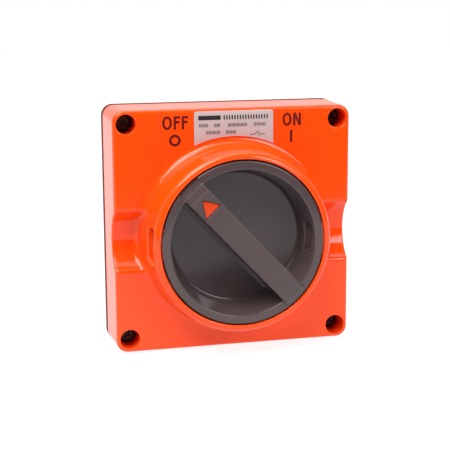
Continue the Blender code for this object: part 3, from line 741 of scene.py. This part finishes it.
def letter(kind, x, z, width, height, stroke):
    """Outlines of a plain capital whose lower left corner is at (x, z)."""
    if kind == "O":
        middle = (x + width / 2, z + height / 2)
        outer = ellipse(*middle, width / 2, height / 2)
        return [[outer, ellipse(*middle, width / 2 - stroke, height / 2 - stroke)]]
    upright = [(x, z), (x + stroke, z), (x + stroke, z + height), (x, z + height)]
    if kind == "I":
        return [[upright]]
    if kind == "F":
        arm = 0.93
        middle = z + height * 0.46
        outline = [
            (x, z),
            (x + stroke, z),
            (x + stroke, middle),
            (x + width * arm, middle),
            (x + width * arm, middle + stroke),
            (x + stroke, middle + stroke),
            (x + stroke, z + height - stroke),
            (x + width, z + height - stroke),
            (x + width, z + height),
            (x, z + height),
        ]
        return [[outline]]
    slant = stroke * 1.15
    outline = [
        (x, z),
        (x + stroke, z),
        (x + stroke, z + height - slant * 1.7),
        (x + width - slant, z),
        (x + width, z),
        (x + width, z + height),
        (x + width - stroke, z + height),
        (x + width - stroke, z + slant * 1.7),
        (x + slant, z + height),
        (x, z + height),
    ]
    return [[outline]]


def legends():
    """OFF over a ring on the left, ON over a bar on the right, painted in shallow relief."""
    level = -(FACE - PANEL_DROP) - 0.02
    stroke = 0.95
    rows = [
        ("legend_off_1", letter("O", -29.6, 41.7, 4.0, 5.5, stroke)),
        ("legend_off_2", letter("F", -24.9, 41.8, 2.6, 5.3, stroke)),
        ("legend_off_3", letter("F", -21.6, 41.8, 2.6, 5.3, stroke)),
        ("legend_on_1", letter("O", 20.7, 41.8, 3.9, 5.4, stroke)),
        ("legend_on_2", letter("N", 25.3, 41.9, 3.3, 5.2, stroke)),
        ("legend_ring", [[ellipse(-24.5, 37.35, 2.4, 2.4), ellipse(-24.5, 37.35, 1.35, 1.35)]]),
        ("legend_bar", [[[(23.9, 35.0), (24.95, 35.0), (24.95, 40.1), (23.9, 40.1)]]]),
    ]
    for name, shapes in rows:
        for outlines in shapes:
            mark = outline_plate(name, outlines, level, 0.10, bevel=0.02)
            piece(mark, "cover_and_body", "orange_plastic", LEGEND)


def rounded_outline(half, radius, steps=8):
    """The points of a square with round corners."""
    points = []
    for quarter in range(4):
        for step in range(steps + 1):
            angle = math.radians(90 * (quarter + step / steps))
            x = (half - radius) * (1 if quarter in (0, 3) else -1) + radius * math.cos(angle)
            z = (half - radius) * (1 if quarter in (0, 1) else -1) + radius * math.sin(angle)
            points.append((x, z))
    return points


def painted_shade_seal_lip():
    """The dark lip of the seal, which wraps the rear edge of the cover: painted shade and dark reflection
    along that edge, deeper than the seal itself.
    """
    # The plate's bevel grows both outlines by its own width.
    rounding = 0.08
    outer = rounded_outline(HALF_REAR - rounding, CORNER - rounding)
    inner = rounded_outline(HALF_REAR - LIP + rounding, CORNER - LIP + rounding)
    middle = (LIP_TOP + SEAL) / 2
    lip = outline_plate("painted_shade_seal_lip", [outer, inner], -middle, LIP_TOP - SEAL + 0.02, bevel=rounding)
    piece(lip, "cover_and_body", "seal_rubber", SEAL_RUBBER_WITH_PAINTED_REFLECTION)


def rating_label():
    """The silver plate with rounded corners, its lower edge along the collar, and its generic print."""
    half_width, top, corner = 16.5, 48.7, 1.0
    arc = 41.6
    arc_half = math.asin(half_width / arc)
    outline = []
    for step in range(33):
        angle = -arc_half + step / 32 * 2 * arc_half
        outline.append((arc * math.sin(angle), KNOB_Z + arc * math.cos(angle)))
    for start, centre in ((0, half_width - corner), (90, corner - half_width)):
        for step in range(7):
            angle = math.radians(start + step * 15)
            outline.append((centre + corner * math.cos(angle), top - corner + corner * math.sin(angle)))
    plate = outline_plate("label_plate", [outline], -FACE - 0.25, 0.4, bevel=0.09)
    piece(plate, "cover_and_body", "label_silver", FOIL, "rating_label")
    level = -FACE - 0.45 - 0.012
    # A plain bar, rows of blank ticks in groups, and the usual sign for an isolator.
    bar = [(-14.9, 45.2), (-5.6, 45.2), (-5.6, 47.0), (-14.9, 47.0)]
    rows = {
        "label_bar": [bar],
        "label_row_1": ticks(45.2, 1.8, 0.55, [(-4.4, 14.8)]),
        "label_row_2": ticks(42.3, 1.4, 0.28, [(-14.6, -10.6), (-8.3, -5.6), (-2.6, 5.6), (8.3, 13.6)]),
        "label_row_3": ticks(39.4, 1.4, 0.28, [(-11.6, -5.6), (-3.4, 1.0)]),
    }
    for name, outlines in rows.items():
        piece(outline_plate(name, outlines, level, 0.024), "cover_and_body", "label_silver", PRINT)
    sign_x, sign_z = 10.0, 38.9
    lines = [
        ((sign_x - 3.4, sign_z), (sign_x - 1.4, sign_z)),
        ((sign_x - 1.4, sign_z), (sign_x + 0.3, sign_z + 1.3)),
        ((sign_x + 1.0, sign_z), (sign_x + 3.0, sign_z)),
        ((sign_x + 0.5, sign_z - 0.7), (sign_x + 0.5, sign_z + 0.7)),
    ]
    for number, (a, b) in enumerate(lines):
        mark = outline_plate(f"label_sign_{number}", [bar_between(a, b, 0.3)], level, 0.024)
        piece(mark, "cover_and_body", "label_silver", PRINT)


def ticks(bottom, height, width, groups):
    """Outlines of upright blank ticks, all alike, filling each (left, right) group of one row."""
    outlines = []
    for left, right in groups:
        count = round((right - left) / (2 * width))
        for number in range(count):
            x = left + number * (right - left) / count
            right_x, top = x + width, bottom + height
            outlines.append([(x, bottom), (right_x, bottom), (right_x, top), (x, top)])
    return outlines


def pointer_arrow():
    """The red triangle, with rounded edges, in its recess."""
    outline = [(ARROW_POINT, 0.0), (ARROW_BASE, ARROW_HALF), (ARROW_BASE, -ARROW_HALF)]
    arrow = outline_plate("arrow_inlay", [outline], -(BAR_TOP - 0.72), 0.56, bevel=0.12)
    turn = Matrix.Translation((0, 0, KNOB_Z * MM)) @ Matrix.Rotation(-BAR_ANGLE, 4, "Y")
    arrow.data.transform(turn)
    return piece(arrow, "knob_and_spindle", "arrow_red", ARROW, "pointer_arrow")


def cover_screws():
    """Pan heads with a crossed recess, rolled thread on the shanks, and their nylon washers."""
    for number in range(1, 5):
        node = f"cover_screw_{number}"
        low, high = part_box(node)
        centre = ((low.x + high.x) / 2, low.y, (low.z + high.z) / 2)
        profile = [(0, 0.30), (0.9, 0.26), (2.2, 0.16), (3.1, 0.34), (3.5, 0.75), (3.6, 1.2), (3.6, 2.6)]
        profile += [(3.4, 2.8), (2.0, 2.8), (1.95, 3.4)]
        depth = (high.y - low.y) / MM
        y = 3.6
        while y < depth - 1.2:
            profile += [(2.0, y), (1.62, y + 0.35)]
            y += 0.7
        profile += [(1.5, depth - 0.8), (0.7, depth), (0, depth)]
        screw = turned(node + "_head", profile, centre, sides=40)
        cutter = cross_cutter(centre)
        recess = screw.modifiers.new("Recess", "BOOLEAN")
        recess.operation = "DIFFERENCE"
        recess.use_self = True
        recess.object = cutter
        applied(screw)
        bpy.data.objects.remove(cutter)
        screw.data.shade_smooth()
        screw.data.set_sharp_from_angle(angle=math.radians(38))
        # The heads take a dark steel that paints the shade deep in their bores.
        piece(screw, "cover_and_body", "zinc_steel", SCREW_HEAD_PAINTED_SHADE, node)
        softened(f"screw_washer_{number}", "cover_and_body", "white_nylon", NYLON, 0.15)


def cross_cutter(centre):
    """A tapered cross for a screw's recess."""
    bm = bmesh.new()
    for turn in (0.6, 0.6 + math.pi / 2):
        made = bmesh.ops.create_cube(bm, size=1)["verts"]
        for vert in made:
            deep = vert.co.y > 0
            reach = 1.1 if deep else 2.1
            width = 0.30 if deep else 0.48
            vert.co = (vert.co.x * 2 * reach, 1.5 if deep else -0.6, vert.co.z * 2 * width)
        bmesh.ops.rotate(bm, matrix=Matrix.Rotation(turn, 3, "Y"), verts=made)
    bmesh.ops.recalc_face_normals(bm, faces=bm.faces)
    place = Matrix.Translation(Vector(centre)) @ Matrix.Scale(MM, 4)
    bmesh.ops.transform(bm, matrix=place, verts=bm.verts)
    cutter = mesh_from("cross_cutter", bm)
    cutter.hide_render = True
    return cutter


def inner_pieces():
    """Rounded copies of the rest of the CAD nodes, each with its own finish."""
    fixed, turning, sliding = "cover_and_body", "knob_and_spindle", "contact_carrier"
    softened("cover_seal", fixed, "seal_rubber", SEAL_RUBBER_WITH_PAINTED_REFLECTION, 0.2)
    softened("spindle", turning, "zinc_steel", STEEL, 0.2)
    softened("spindle_seal", turning, "seal_rubber", O_RING, 0.05, angle=60)
    softened("retaining_clip", turning, "zinc_steel", STEEL, 0.12)
    softened("thrust_washer", turning, "white_nylon", NYLON, 0.12)
    softened("cam_drum", turning, "ivory_plastic", IVORY, 0.2)
    softened("front_housing", fixed, "ivory_plastic", IVORY, 0.35)
    softened("rear_housing", fixed, "black_plastic", BLACK, 0.35)
    softened("contact_carrier", sliding, "white_nylon", NYLON, 0.25)
    for number in range(1, 5):
        softened(f"housing_screw_{number}", fixed, "zinc_steel", STEEL, 0.2)
    for number in range(1, 4):
        softened(f"bridge_contact_{number}", sliding, "contact_copper", COPPER, 0.15)
        softened(f"contact_spring_{number}", sliding, "zinc_steel", STEEL, 0.04, angle=70)
    for number in range(1, 7):
        softened(f"fixed_contact_{number}", fixed, "brass", BRASS, 0.15)
        softened(f"terminal_clamp_{number}", fixed, "zinc_steel", STEEL, 0.2)
        softened(f"terminal_screw_{number}", fixed, "zinc_steel", STEEL, 0.2)


# ---------------------------------------------------------------- camera and light

ROOM_LIGHT = 0.05
BACK_LIGHT = 0.84
TABLE_FRONT = -0.34
TABLE_WIDTH = 4.0
TABLE_DEPTH = 3.0
TABLE_GLOW = (0.86, 1.02)
SOFT_BOX_TONE = (1.0, 0.91, 0.83)


def camera():
    """The camera, left of the object and a little above it."""
    place = Vector((-0.12006, -0.49522, 0.09539))
    pan = math.radians(13.945)
    tilt = math.radians(11.011)
    roll = math.radians(-0.340)
    ahead = Vector(
        (math.sin(pan) * math.cos(tilt), math.cos(pan) * math.cos(tilt), -math.sin(tilt))
    )
    level = ahead.cross(Vector((0, 0, 1))).normalized()
    upright = level.cross(ahead)
    right = level * math.cos(roll) + upright * math.sin(roll)
    up = upright * math.cos(roll) - level * math.sin(roll)
    data = bpy.data.cameras.new("camera")
    data.sensor_width = 36.0
    data.lens = 95.2
    data.clip_start = 0.01
    holder = bpy.data.objects.new("camera", data)
    basis = Matrix((right, up, -ahead)).transposed().to_4x4()
    holder.matrix_world = Matrix.Translation(place) @ basis
    bpy.context.scene.collection.objects.link(holder)
    bpy.context.scene.camera = holder


def panel_light(name, place, target, size, power, colour=(1.0, 1.0, 1.0)):
    """A soft rectangular light aimed at a target."""
    data = bpy.data.lights.new(name, "AREA")
    data.shape = "RECTANGLE"
    data.size, data.size_y = size
    data.energy = power
    data.color = colour
    lamp = bpy.data.objects.new(name, data)
    aim = Vector(target) - Vector(place)
    lamp.matrix_world = Matrix.Translation(place) @ aim.to_track_quat("-Z", "Y").to_matrix().to_4x4()
    bpy.context.scene.collection.objects.link(lamp)


def studio_world():
    """A white cyclorama behind, a dim room in front, and plain white where the camera sees past the floor."""
    world = bpy.data.worlds.new("studio")
    world.use_nodes = True
    tree = world.node_tree
    lit = tree.nodes["Background"]
    lit.inputs["Color"].default_value = (1.0, 1.0, 1.0, 1.0)
    heading = tree.nodes.new("ShaderNodeSeparateXYZ")
    tree.links.new(tree.nodes.new("ShaderNodeTexCoord").outputs["Generated"], heading.inputs["Vector"])
    depth = tree.nodes.new("ShaderNodeMapRange")
    depth.interpolation_type = "SMOOTHSTEP"
    # The heading runs from -1, towards the camera's side, to 1 behind the object.
    spread = {"From Min": -0.35, "From Max": 0.45, "To Min": ROOM_LIGHT, "To Max": BACK_LIGHT}
    for key, value in spread.items():
        depth.inputs[key].default_value = value
    tree.links.new(heading.outputs["Y"], depth.inputs["Value"])
    tree.links.new(depth.outputs["Result"], lit.inputs["Strength"])
    plain = tree.nodes.new("ShaderNodeBackground")
    plain.inputs["Color"].default_value = (1.0, 1.0, 1.0, 1.0)
    choice = tree.nodes.new("ShaderNodeMixShader")
    tree.links.new(tree.nodes.new("ShaderNodeLightPath").outputs["Is Camera Ray"], choice.inputs["Fac"])
    tree.links.new(lit.outputs["Background"], choice.inputs[1])
    tree.links.new(plain.outputs["Background"], choice.inputs[2])
    tree.links.new(choice.outputs["Shader"], tree.nodes["World Output"].inputs["Surface"])
    bpy.context.scene.world = world


def white_table():
    """A pale, softly back-lit table top under the cover, its front edge a forearm's length ahead of it."""
    bm = bmesh.new()
    bmesh.ops.create_grid(bm, x_segments=8, y_segments=8, size=0.5)
    for vert in bm.verts:
        vert.co = (vert.co.x * TABLE_WIDTH, TABLE_FRONT + (vert.co.y + 0.5) * TABLE_DEPTH, 0)
    floor = mesh_from("floor", bm)
    floor.location.z = CAD_BOX[0][2] - 0.0002
    n = Nodes("floor_acrylic")
    tone = n.mix(n.ramp(n.noise(30, 3), 0.0, 1.0), rgb(0.15, 0.15, 0.15), rgb(0.17, 0.17, 0.17))
    away = n.add("ShaderNodeVectorMath", operation="LENGTH")
    n.put(away.inputs[0], n.place)
    n.shader.inputs["Emission Color"].default_value = (1.0, 1.0, 1.0, 1.0)
    n.put(n.shader.inputs["Emission Strength"], n.ramp(away.outputs["Value"], *TABLE_GLOW, 0.15, 0.6))
    n.finish(tone, 0.9)
    floor.data.materials.append(n.material)


def surroundings():
    """The table, the cyclorama, a warm soft box above left, and weaker panels overhead and on the right."""
    studio_world()
    white_table()
    middle = (0, -0.03, 0)
    panel_light("soft_box", (-0.40, -0.38, 0.82), middle, (0.74, 0.64), 15.5, SOFT_BOX_TONE)
    panel_light("top_panel", (0.05, 0.05, 1.1), middle, (0.80, 0.80), 4.0)
    panel_light("fill", (0.55, -0.80, 0.50), middle, (0.45, 0.45), 5.0)
    bpy.context.scene.view_settings.view_transform = "Standard"
    bpy.context.scene.view_settings.look = "None"


front_cover()
knob()
legends()
painted_shade_seal_lip()
rating_label()
pointer_arrow()
cover_screws()
inner_pieces()
camera()
surroundings()
